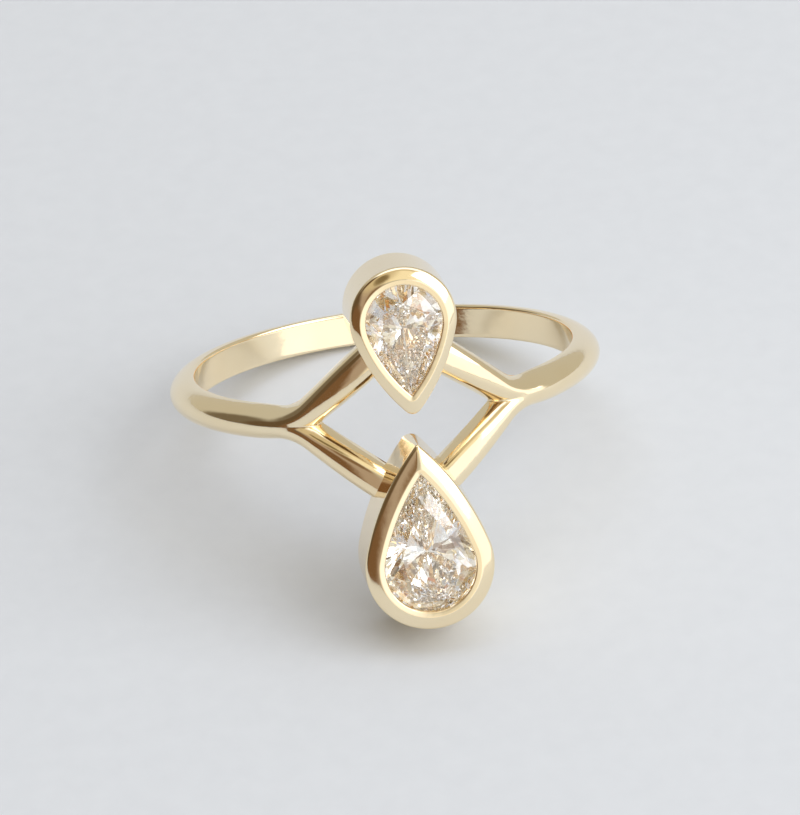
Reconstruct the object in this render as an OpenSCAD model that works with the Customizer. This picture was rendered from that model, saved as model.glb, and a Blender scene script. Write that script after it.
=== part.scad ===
// Engagement ring with two pear-shaped diamonds in separate bezels, tip to tip along the finger.
// The band forks on both sides of the head, and one arm of each fork runs to each bezel.
// Millimetres. Z is up, and the ring lies as it rests on a table, head towards -Y, its small end up.
// The origin is the centre of the finger hole.

/* [Parts] */
// Piece to draw: all, ring_body, upper_diamond or lower_diamond

/* [Band] */
// Diameter of the finger hole
finger_d = 16.5; // [16.1:0.1:16.5]
// Thickness of the band from the finger to its crest
band_t = 1.15; // [1.05:0.05:1.25]
// Width of the band along the finger
band_w = 1.5; // [1.4:0.05:1.7]
// Height of the band's flat sides, below the domed outside
band_side = 0.45; // [0.4:0.05:0.5]

/* [Arms] */
// Distance of each fork from the middle of the head
fork_x = 4.62; // [4.5:0.02:4.8]
// Slope of the arms seen from the front, in degrees
arm_slope = 38; // [36:1:40]
// Width of an arm
arm_w = 1.2; // [1.1:0.05:1.3]
// Thickness of an arm from the finger to its crest
arm_t = 1; // [0.95:0.05:1.05]
// Distance from the middle at which the arms end, inside the bezel walls
arm_end_x = 1.25; // [1.1:0.05:1.4]

/* [Bezels] */
// Distance of both rims from the finger's axis
rim_y = 11.42; // [11.2:0.02:11.6]
// Distance of both flat backs from the finger's axis, just clear of the finger hole
back_y = 8.27; // [8.27:0.01:8.35]
// Width of the bright lip that slopes in to the stone
lip_w = 0.2; // [0.15:0.05:0.25]
// Radius of the rounded top of the wall
crest_r = 0.55; // [0.5:0.05:0.7]
// Width of the rounded top, from the wall's outside to its crest
crest_w = 0.48; // [0.4:0.02:0.5]

/* [Lower bezel] */
// Distance of the pear's round centre below the band
lower_z = 5.9; // [5.8:0.05:6]
// Radius of the round end, outside
lower_r = 2.73; // [2.68:0.01:2.78]
// Distance from the round centre to the centres of the side arcs, outside
lower_far = 8.5; // [8:0.25:9]
// Radius of the round end of the opening over the stone
lower_open_r = 2.05; // [2:0.01:2.1]
// Distance from the round centre to the centres of the opening's side arcs
lower_open_far = 7.25; // [7:0.25:7.5]

/* [Upper bezel] */
// Distance of the pear's round centre above the band
upper_z = 4.8; // [4.7:0.05:4.9]
// Radius of the round end, outside
upper_r = 2.24; // [2.2:0.01:2.3]
// Distance from the round centre to the centres of the side arcs, outside
upper_far = 5.75; // [5.5:0.25:6]
// Radius of the round end of the opening over the stone
upper_open_r = 1.71; // [1.68:0.01:1.74]
// Distance from the round centre to the centres of the opening's side arcs
upper_open_far = 5.5; // [5.25:0.25:5.5]

/* [Diamonds] */
// Overlap of the bezel's lip over the edge of each diamond
grip = 0.16; // [0.14:0.01:0.17]
// Gap between a diamond and its seat
seat_gap = 0.03; // [0.02:0.01:0.04]
// Depth of a diamond's widest line below the rim
girdle_drop = 0.48; // [0.46:0.02:0.52]
// Thickness of the girdle
girdle_t = 0.1; // [0.08:0.01:0.12]
// Height of the table above the rim
table_rise = 0.06; // [0.02:0.02:0.08]
// Share of the outline that the table takes up
table_share = 0.58; // [0.54:0.01:0.6]
// Depth of the pavilion as a share of the diamond's width
pavilion_share = 0.42; // [0.4:0.01:0.43]

/* [Hidden] */
$fn = 96;
EPS = 0.01;
REACH = 40;
MAINS = 8;
// Angle at which a pear's sides leave its round end, that of a 7, 24, 25 triangle
LEAN = atan2(7, 24);
finger_r = finger_d / 2;
// Radius of the band's dome and the distance of its centre from the finger's axis
dome_h = band_t - band_side;
dome_r = (band_w * band_w / 4 + dome_h * dome_h) / (2 * dome_h);
dome_mid = finger_r + band_t - dome_r;
// The ring leans back until the band's rear edge and the lower bezel's back edge both touch the table
lower_end = lower_z + lower_r;
tilt = atan2(lower_end, dome_mid + back_y) - asin(dome_r / norm([lower_end, dome_mid + back_y]));
// Each arm is a straight bar between two points at the middle of the metal's thickness
arm_mid = finger_r + band_t / 2;
fork_a = asin(fork_x / arm_mid);
arm_end_a = asin(arm_end_x / arm_mid);
arm_turn = (fork_a + arm_end_a) / 2;
arm_half = arm_mid * sin((fork_a - arm_end_a) / 2);
arm_rise = (fork_x - arm_end_x) * tan(arm_slope);
arm_lean = atan2(2 * arm_half, arm_rise);
arm_len = norm([2 * arm_half, arm_rise]);
// How far an arm starts behind its fork, inside the band
arm_root = 0.3;
// Depth of the arm's flat below the finger hole's surface at mid length, before the hole is cut
arm_sink = 0.2;
wall_h = rim_y - back_y;
// Depth of the lip's lower edge, and the seat's room round the girdle
lip_bottom = lip_w + 0.05;
seat_w = grip + seat_gap;
seat_bottom = girdle_drop + girdle_t + seat_gap;
bearing_w = 0.35;
// Heights of the stars' outer points above the girdle and of the mains' meeting points above the culet,
// as shares of the crown and of the pavilion
STAR_SHARE = 0.55;
MEET_SHARE = 0.24;

// A pear is a round end and two long side arcs that meet at its tip, towards +Y.
// The side arcs' centres lie a distance far from the round end's centre, along the line at LEAN.
function side_x(far) = far * cos(LEAN);
function side_y(far) = far * sin(LEAN);
// Angle of the tip, seen from a side arc's centre
function tip_a(r, far) = acos(side_x(far) / (r + far));
function tip_y(r, far) = (r + far) * sin(tip_a(r, far)) - side_y(far);

// Points of a pear: part 0 is the tip, part 1 the middle of the round end
function side_len(r, far) = (r + far) * (tip_a(r, far) - LEAN) * PI / 180;
function half_len(r, far) = side_len(r, far) + r * (90 + LEAN) * PI / 180;
function side_point(r, far, run) =
    let (a = tip_a(r, far) - run / (r + far) * 180 / PI)
    [(r + far) * cos(a) - side_x(far), (r + far) * sin(a) - side_y(far)];
function round_point(r, run) =
    let (a = LEAN - run / r * 180 / PI)
    [r * cos(a), r * sin(a)];
function half_point(r, far, part) =
    let (run = part * half_len(r, far), side = side_len(r, far))
    run < side ? side_point(r, far, run) : round_point(r, run - side);
function pear_point(r, far, k) =
    let (p = half_point(r, far, k <= MAINS ? k / MAINS : 2 - k / MAINS))
    k <= MAINS ? p : [-p.x, p.y];

// Direction straight out of a pear's edge at the same parts
function half_out(r, far, part) =
    let (
        run = part * half_len(r, far),
        side = side_len(r, far),
        a = run < side ? tip_a(r, far) - run / (r + far) * 180 / PI : LEAN - (run - side) / r * 180 / PI
    )
    part == 0 ? [0, 1] : [cos(a), sin(a)];
function pear_out(r, far, k) =
    let (v = half_out(r, far, k <= MAINS ? k / MAINS : 2 - k / MAINS))
    k <= MAINS ? v : [-v.x, v.y];

// Where two slanting planes cross at one height: each is a start, a direction and a run
function crossing(p, dp, run_p, q, dq, run_q) =
    let (
        a = run_p + p * dp,
        b = run_q + q * dq,
        det = dp.x * dq.y - dp.y * dq.x
    )
    [(a * dq.y - b * dp.y) / det, (b * dp.x - a * dq.x) / det];

// Half the room that a pear's side arc takes up, on the far side of the line where it leaves the round end
module side_room() {
    rotate([0, 0, LEAN])
        translate([0, 0, -REACH / 2])
            cube(REACH);
}

// Sweeps the flat children round a pear. In them X is the distance out from the pear and Y is height.
// The two side arcs meet in a mitre at the tip.
module around_pear(r, far) {
    difference() {
        rotate_extrude()
            translate([r, 0])
                children();
        for (side = [0, 1])
            mirror([side, 0, 0])
                side_room();
    }
    for (side = [0, 1])
        mirror([side, 0, 0])
            intersection() {
                translate([-side_x(far), -side_y(far), 0])
                    rotate_extrude(angle = tip_a(r, far) - LEAN + 20, start = LEAN - 5)
                        translate([r + far, 0])
                            children();
                side_room();
                translate([0, -REACH / 2, -REACH / 2])
                    cube(REACH);
            }
}

// Wall of a bezel, in height from the back edge at 0 to the crest, with its top rounded outwards
module wall_section(depth) {
    shoulder = crest_r - sqrt(crest_r * crest_r - crest_w * crest_w);
    translate([-depth, 0])
        square([depth, wall_h - shoulder]);
    translate([-depth, wall_h - shoulder - EPS])
        square([depth - crest_w, shoulder + EPS]);
    intersection() {
        translate([-crest_w - EPS, wall_h - shoulder - EPS])
            square([crest_w + EPS, shoulder + EPS]);
        translate([-crest_w, wall_h - crest_r])
            circle(crest_r);
    }
}

// Room for a diamond: sloping lip, girdle seat, slanted bearing and an open way to the back
module seat_section(r) {
    over = 0.2;
    middle = EPS - r;
    polygon([
        [middle, wall_h + over],
        [lip_w + over, wall_h + over],
        [0, wall_h - lip_w],
        [0, wall_h - lip_bottom],
        [seat_w, wall_h - lip_bottom],
        [seat_w, wall_h - seat_bottom],
        [seat_w - bearing_w, wall_h - seat_bottom - bearing_w],
        [seat_w - bearing_w, -1],
        [middle, -1]
    ]);
}

// Stands a pear drawn flat on the head's face: its height runs to the front, its tip up or down
module on_head(z, up) {
    translate([0, -back_y, z])
        rotate([90, 0, 0])
            mirror([0, up ? 0 : 1, 0])
                children();
}

// Turns the upright ring back until it rests on the table
module at_rest() {
    rotate([-tilt, 0, 0])
        children();
}

// Half-round section with short flat sides, its flat face on the Y axis
module half_round(w, t, side) {
    dome = t - side;
    r = (w * w / 4 + dome * dome) / (2 * dome);
    translate([0, -w / 2])
        square([side, w]);
    intersection() {
        translate([side - EPS, -w / 2])
            square([dome + EPS, w]);
        translate([t - r, 0])
            circle(r);
    }
}

module band() {
    rotate_extrude(angle = 360 - 2 * fork_a, start = fork_a - 90)
        translate([finger_r - arm_sink, 0])
            half_round(band_w, band_t + arm_sink, band_side + arm_sink);
}

// One arm, from its fork on the +X side up to the upper bezel
module arm() {
    rotate([0, 0, arm_turn])
        translate([arm_half, arm_sink - finger_r, 0])
            rotate([0, -arm_lean, 0])
                translate([0, 0, -arm_root])
                    linear_extrude(arm_len + arm_root)
                        rotate([0, 0, -90])
                            half_round(arm_w, arm_t + arm_sink, band_side + arm_sink);
}

module arms() {
    for (side = [0, 1])
        for (low = [0, 1])
            mirror([side, 0, 0])
                mirror([0, 0, low])
                    arm();
}

// Band and arms, with the finger hole cut through them
module shank() {
    difference() {
        union() {
            band();
            arms();
        }
        cylinder(h = REACH, r = finger_r, center = true);
    }
}

module ring_body() {
    color("#d9b46a")
        at_rest()
            difference() {
                union() {
                    shank();
                    on_head(-lower_z, true)
                        around_pear(lower_r, lower_far)
                            wall_section(1.3);
                    on_head(upper_z, false)
                        around_pear(upper_r, upper_far)
                            wall_section(1.1);
                }
                on_head(-lower_z, true)
                    around_pear(lower_open_r, lower_open_far)
                        seat_section(lower_open_r);
                on_head(upper_z, false)
                    around_pear(upper_open_r, upper_open_far)
                        seat_section(upper_open_r);
            }
}

// Pear brilliant: table, stars, kites, upper girdle, girdle, lower girdle and pavilion mains.
// Its height is measured like the bezel's, and its culet lies below the middle of the stone.
module pear_brilliant(open_r, far) {
    r = open_r + grip;
    culet = [0, (tip_y(open_r, far) - open_r) / 4];
    top = wall_h + table_rise;
    edge_top = wall_h - girdle_drop;
    edge_low = edge_top - girdle_t;
    bottom = edge_low - 2 * r * pavilion_share;
    star_z = edge_top + STAR_SHARE * (top - edge_top);
    meet_z = bottom + MEET_SHARE * (edge_low - bottom);
    ring = [for (k = [0 : 2 * MAINS - 1]) pear_point(r, far, k)];
    mains = [for (k = [0 : MAINS - 1]) ring[2 * k]];
    table = [for (p = mains) culet + table_share * (p - culet)];
    out = [for (k = [0 : MAINS - 1]) pear_out(r, far, 2 * k)];
    fall = [for (k = [0 : MAINS - 1]) (top - edge_top) / ((mains[k] - table[k]) * out[k])];
    climb = [for (k = [0 : MAINS - 1]) (edge_low - bottom) / ((mains[k] - culet) * out[k])];
    stars = [for (k = [0 : MAINS - 1])
        let (n = (k + 1) % MAINS)
        crossing(
            table[k], out[k], (top - star_z) / fall[k],
            table[n], out[n], (top - star_z) / fall[n]
        )];
    meets = [for (k = [0 : MAINS - 1])
        let (n = (k + 1) % MAINS)
        crossing(
            culet, out[k], (meet_z - bottom) / climb[k],
            culet, out[n], (meet_z - bottom) / climb[n]
        )];
    star_0 = MAINS;
    upper_0 = 2 * MAINS;
    lower_0 = 4 * MAINS;
    meet_0 = 6 * MAINS;
    point_0 = 7 * MAINS;
    each_main = [0 : MAINS - 1];
    polyhedron(
        points = [
            for (p = table) [p.x, p.y, top],
            for (p = stars) [p.x, p.y, star_z],
            for (p = ring) [p.x, p.y, edge_top],
            for (p = ring) [p.x, p.y, edge_low],
            for (p = meets) [p.x, p.y, meet_z],
            [culet.x, culet.y, bottom]
        ],
        faces = [
            [for (k = each_main) k],
            for (k = each_main) [(k + 1) % MAINS, k, star_0 + k],
            for (k = each_main)
                [star_0 + k, k, star_0 + (k + MAINS - 1) % MAINS, upper_0 + 2 * k],
            for (k = each_main) [star_0 + k, upper_0 + 2 * k, upper_0 + 2 * k + 1],
            for (k = each_main)
                [star_0 + k, upper_0 + 2 * k + 1, upper_0 + (2 * k + 2) % (2 * MAINS)],
            for (j = [0 : 2 * MAINS - 1])
                let (n = (j + 1) % (2 * MAINS))
                [upper_0 + n, upper_0 + j, lower_0 + j, lower_0 + n],
            for (k = each_main) [lower_0 + 2 * k + 1, lower_0 + 2 * k, meet_0 + k],
            for (k = each_main)
                [lower_0 + (2 * k + 2) % (2 * MAINS), lower_0 + 2 * k + 1, meet_0 + k],
            for (k = each_main)
                [meet_0 + k, lower_0 + 2 * k, meet_0 + (k + MAINS - 1) % MAINS, point_0]
        ]
    );
}

module upper_diamond() {
    color("#eef4fb")
        at_rest()
            on_head(upper_z, false)
                pear_brilliant(upper_open_r, upper_open_far);
}

module lower_diamond() {
    color("#eef4fb")
        at_rest()
            on_head(-lower_z, true)
                pear_brilliant(lower_open_r, lower_open_far);
}

ring_body();
upper_diamond();
lower_diamond();
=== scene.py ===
"""Two-stone ring: pear diamonds in bezels, set tip to tip where the band forks into four arms.

Lengths are millimetres in the upright ring, whose finger axis is Z and whose head faces -Y, and they
become metres when a mesh is handed over, leaning back as the ring rests on the table.
"""

import logging
import math
from collections.abc import Sequence
from dataclasses import dataclass, field
from enum import Enum
from typing import NamedTuple

import bmesh
import bpy
import numpy as np
from mathutils import Matrix, Vector
from mathutils.bvhtree import BVHTree


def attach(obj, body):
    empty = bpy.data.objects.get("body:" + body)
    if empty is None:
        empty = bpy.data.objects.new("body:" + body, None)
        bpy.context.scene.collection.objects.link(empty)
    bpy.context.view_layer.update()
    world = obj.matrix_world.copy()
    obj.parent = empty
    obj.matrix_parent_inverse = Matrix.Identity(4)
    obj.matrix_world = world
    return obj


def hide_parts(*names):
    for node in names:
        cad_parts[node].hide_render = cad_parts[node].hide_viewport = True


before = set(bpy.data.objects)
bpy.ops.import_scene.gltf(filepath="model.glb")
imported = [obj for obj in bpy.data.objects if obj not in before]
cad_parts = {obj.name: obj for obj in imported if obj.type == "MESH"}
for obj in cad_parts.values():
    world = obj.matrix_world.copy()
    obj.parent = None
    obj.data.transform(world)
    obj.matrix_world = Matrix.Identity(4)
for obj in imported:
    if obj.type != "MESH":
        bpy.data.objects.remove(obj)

LOG = logging.getLogger("ring")
MM = 0.001
BODY = "root"

FINGER_R = 8.25
# The lean that rests the ring on the band's rear edge and the lower bezel's back edge
TILT = math.radians(24.7576)
FLOOR_Z = -4.386
# Angle at which a pear's sides leave its round end, that of a 7, 24, 25 triangle
LEAN = math.atan2(7, 24)
QUARTER = math.pi / 2
# Smallest radius of a pear's tip
SHARPEST = 0.01
# Radius on which the shank is laid out flat: the middle of the metal's thickness
UNROLL_R = 8.8
# How often light may turn inside a cut stone
STONE_BOUNCES = 32
# A length beyond anything here, and one that only keeps a division from failing
FAR_OFF = 1e9
TINY = 1e-12

Colour = tuple[float, float, float]
Stops = Sequence[tuple[float, Colour]]


class Stand(Enum):
    """Which way a pear's tip points when the ring is upright."""

    TIP_UP = 1.0
    TIP_DOWN = -1.0


class Source(Enum):
    """What a face of the ring's metal comes from, kept as its material index while parts are joined."""

    SHANK = 0
    BEZEL = 1


def smooth_min(a: np.ndarray, b: np.ndarray, k: np.ndarray | float) -> np.ndarray:
    """Blends two distances into one fillet.

    Args:
        a: first distance, in millimetres.
        b: second distance.
        k: width of the blend, in the same unit; it has to be above zero.

    Returns:
        The smaller distance, lowered by up to a quarter of k where the two are close.
    """
    near = np.maximum(k - np.abs(a - b), 0.0) / k
    return np.minimum(a, b) - near * near * k / 4


def smooth_max(a: np.ndarray, b: np.ndarray, k: float) -> np.ndarray:
    """Rounds an outer edge: the counterpart of smooth_min."""
    return -smooth_min(-a, -b, k)


def smooth_step(low: float, high: float, x: np.ndarray) -> np.ndarray:
    """Eases from 0 at low to 1 at high."""
    t = np.clip((x - low) / (high - low), 0.0, 1.0)
    return t * t * (3 - 2 * t)


def round_corner(start: np.ndarray, corner: np.ndarray, end: np.ndarray, t: float) -> np.ndarray:
    """The place at share t of a curve that leaves start towards the corner and reaches end from it."""
    return (1 - t) ** 2 * start + 2 * t * (1 - t) * corner + t * t * end


def resting(points: np.ndarray) -> np.ndarray:
    """Turns points or directions of the upright ring as it rests on the table.

    Args:
        points: X, Y and Z along the last axis.

    Returns:
        The same, turned back by the ring's lean.
    """
    c, s = math.cos(TILT), math.sin(TILT)
    x, y, z = points[..., 0], points[..., 1], points[..., 2]
    return np.stack([x, y * c + z * s, -y * s + z * c], axis=-1)


def mesh_object(name: str, points: np.ndarray, faces: Sequence | np.ndarray) -> bpy.types.Object:
    """Makes a mesh object and links it to the scene.

    Args:
        name: the object's and the mesh's name.
        points: one row of three coordinates a vertex.
        faces: vertex numbers of each face.

    Returns:
        The new object, at the origin.
    """
    mesh = bpy.data.meshes.new(name)
    mesh.from_pydata([tuple(p) for p in points], [], [tuple(int(i) for i in f) for f in faces])
    mesh.update()
    made = bpy.data.objects.new(name, mesh)
    bpy.context.scene.collection.objects.link(made)
    return made


def column(rows: bpy.types.bpy_prop_collection, name: str, kind: type, width: int = 1) -> np.ndarray:
    """Reads one property of all rows of a mesh.

    Args:
        rows: the mesh's vertices, corners or faces.
        name: the property.
        kind: type of the numbers.
        width: how many numbers each row has.

    Returns:
        The numbers, all in one line.
    """
    made = np.empty(len(rows) * width, kind)
    rows.foreach_get(name, made)
    return made


# Outlines


@dataclass(frozen=True)
class Pear:
    """A pear outline: a round end about (0, 0), two long side arcs and a small arc at the tip, towards +Y."""

    round_r: float
    # Distance of the side arcs' centres from the round end's centre
    far: float
    nose_r: float

    @property
    def side_centre(self) -> tuple[float, float]:
        """Centre of the right side's arc."""
        return -self.far * math.cos(LEAN), -self.far * math.sin(LEAN)

    @property
    def nose_y(self) -> float:
        """Height of the tip arc's centre."""
        x, y = self.side_centre
        return math.sqrt((self.round_r + self.far - self.nose_r) ** 2 - x * x) + y

    @property
    def nose_angle(self) -> float:
        """Direction in which the side arc meets the tip arc."""
        x, y = self.side_centre
        return math.atan2(self.nose_y - y, -x)

    def grown(self, out: float) -> "Pear":
        """The same outline moved out by a distance, or in as far as its tip allows."""
        return Pear(self.round_r + out, self.far, max(self.nose_r + out, SHARPEST))

    def at(self, part: np.ndarray) -> np.ndarray:
        """Points on the right half.

        Args:
            part: 0 at the tip, 1 where the side starts, 2 where the round end starts, 3 at its middle.

        Returns:
            One row of X and Y a part.
        """
        part = np.asarray(part, float)
        nose, side, end = np.clip(part, 0, 1), np.clip(part - 1, 0, 1), np.clip(part - 2, 0, 1)
        a = QUARTER + nose * (self.nose_angle - QUARTER)
        a = a + side * (LEAN - self.nose_angle) + end * (-QUARTER - LEAN)
        sx, sy = self.side_centre
        on_nose, on_side = part <= 1, (part > 1) & (part <= 2)
        cx = np.where(on_side, sx, 0.0)
        cy = np.where(on_nose, self.nose_y, np.where(on_side, sy, 0.0))
        r = np.where(on_nose, self.nose_r, np.where(on_side, self.round_r + self.far, self.round_r))
        return np.stack([cx + r * np.cos(a), cy + r * np.sin(a)], axis=-1)

    def whole(self, part: np.ndarray, side: np.ndarray) -> np.ndarray:
        """Points on both halves, at the parts and on the sides that around() gives."""
        return self.at(part) * np.stack([side, np.ones_like(side)], axis=-1)

    def distance(self, x: np.ndarray, y: np.ndarray) -> np.ndarray:
        """Distance from the outline.

        Args:
            x: places across the pear.
            y: places along it.

        Returns:
            The distance of each place outside the outline, negative inside.
        """
        x = np.abs(x)
        sx, sy = self.side_centre
        side = np.hypot(x - sx, y - sy) - (self.round_r + self.far)
        end = np.hypot(x, y) - self.round_r
        nose = np.hypot(x, y - self.nose_y) - self.nose_r
        at_end = np.arctan2(y, x) < LEAN
        at_nose = (y > self.nose_y) & (np.arctan2(y - self.nose_y, x) > self.nose_angle)
        return np.where(at_end, end, np.where(at_nose, nose, side))


def around(parts_nose: int, parts_side: int, parts_end: int) -> tuple[np.ndarray, np.ndarray]:
    """Stations all the way round a pear.

    Args:
        parts_nose: steps in half of the tip arc.
        parts_side: steps in one side arc.
        parts_end: steps in half of the round end.

    Returns:
        The part of each station, and +1 on the right half or -1 on the left.
    """
    half = np.concatenate([
        np.linspace(0, 1, parts_nose, endpoint=False),
        np.linspace(1, 2, parts_side, endpoint=False),
        np.linspace(2, 3, parts_end + 1),
    ])
    part = np.concatenate([half, half[-2:0:-1]])
    side = np.concatenate([np.ones(len(half)), -np.ones(len(half) - 2)])
    return part, side


# Surfaces


@dataclass(frozen=True)
class Skin:
    """A closed surface on the upright ring: its points, their outward directions and its quads."""

    points: np.ndarray
    outward: np.ndarray
    quads: np.ndarray


def facing(points: np.ndarray, quads: np.ndarray) -> np.ndarray:
    """Turns the quads of a closed surface outwards, all together.

    Args:
        points: the surface's points.
        quads: point numbers of each quad, all wound the same way.

    Returns:
        The quads, as they were or all turned round.
    """
    a, b, c, d = (points[quads[:, k]] for k in range(4))
    volume = (np.einsum("ij,ij->i", a, np.cross(b, c)) + np.einsum("ij,ij->i", a, np.cross(c, d))).sum()
    return quads if volume > 0 else quads[:, ::-1]


def surface_net(x: np.ndarray, y: np.ndarray, z: np.ndarray, v: np.ndarray) -> tuple[np.ndarray, np.ndarray]:
    """Nets the zero surface of values on a grid.

    Args:
        x: grid lines along the first axis.
        y: grid lines along the second axis.
        z: grid lines along the third axis.
        v: value at each crossing of the lines, negative inside.

    Returns:
        Points and the quads that join them.
    """
    inside = v < 0
    cells = [n - 1 for n in v.shape]
    corners = [(i, j, k) for i in (0, 1) for j in (0, 1) for k in (0, 1)]
    count = np.zeros(cells, np.int8)
    for i, j, k in corners:
        count += inside[i : i + cells[0], j : j + cells[1], k : k + cells[2]]
    used = (count > 0) & (count < len(corners))
    number = np.full(cells, -1, np.int64)
    number[used] = np.arange(used.sum())
    points = net_points((x, y, z), v, np.argwhere(used), corners)
    return points, net_quads(inside, number)


def net_points(
    lines: tuple[np.ndarray, ...], v: np.ndarray, at: np.ndarray, corners: list[tuple[int, int, int]]
) -> np.ndarray:
    """Places one point in each cell that the surface runs through.

    Args:
        lines: grid lines along each axis.
        v: value at each crossing of the lines.
        at: the cells, by their lowest corner.
        corners: the steps from there to each of a cell's corners.

    Returns:
        The middle of the places at which the surface crosses each cell's edges.
    """
    total, hits = np.zeros((len(at), 3)), np.zeros(len(at))
    for a in corners:
        for axis in range(3):
            if a[axis]:
                continue
            b = tuple(1 if n == axis else a[n] for n in range(3))
            ia, ib = at + np.array(a), at + np.array(b)
            va, vb = v[tuple(ia.T)], v[tuple(ib.T)]
            cross = (va < 0) != (vb < 0)
            t = np.where(cross, va / np.where(va == vb, 1, va - vb), 0)
            pa = np.stack([lines[n][ia[:, n]] for n in range(3)], axis=-1)
            pb = np.stack([lines[n][ib[:, n]] for n in range(3)], axis=-1)
            total += np.where(cross[:, None], pa + (pb - pa) * t[:, None], 0)
            hits += cross
    return total / hits[:, None]


def net_quads(inside: np.ndarray, number: np.ndarray) -> np.ndarray:
    """Joins the points of the four cells round each grid edge that the surface crosses.

    Args:
        inside: whether each crossing of the grid's lines lies inside.
        number: number of the point in each cell.

    Returns:
        The quads, all wound the same way.
    """
    cells, quads = number.shape, []
    for axis in range(3):
        b, c = (axis + 1) % 3, (axis + 2) % 3
        low = [slice(None)] * 3
        high = [slice(None)] * 3
        low[axis], high[axis] = slice(0, -1), slice(1, None)
        cross = np.argwhere(inside[tuple(low)] != inside[tuple(high)])
        cross = cross[(cross[:, b] > 0) & (cross[:, c] > 0)]
        cross = cross[(cross[:, b] < cells[b]) & (cross[:, c] < cells[c])]
        around_edge = []
        for db, dc in ((-1, -1), (0, -1), (0, 0), (-1, 0)):
            n = cross.copy()
            n[:, b] += db
            n[:, c] += dc
            around_edge.append(number[tuple(n.T)])
        quad = np.stack(around_edge, axis=-1)
        flip = inside[tuple(cross.T)]
        quads.append(np.where(flip[:, None], quad, quad[:, ::-1]))
    return np.concatenate(quads)


# Bezels


class Row(NamedTuple):
    """One line round a bezel's wall.

    Share is its way from the outside, 0, to the lip, 1. Out and inner are the moves of those two lines, and
    height is measured from the wall's back.
    """

    share: float
    out: float
    inner: float
    height: float


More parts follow.
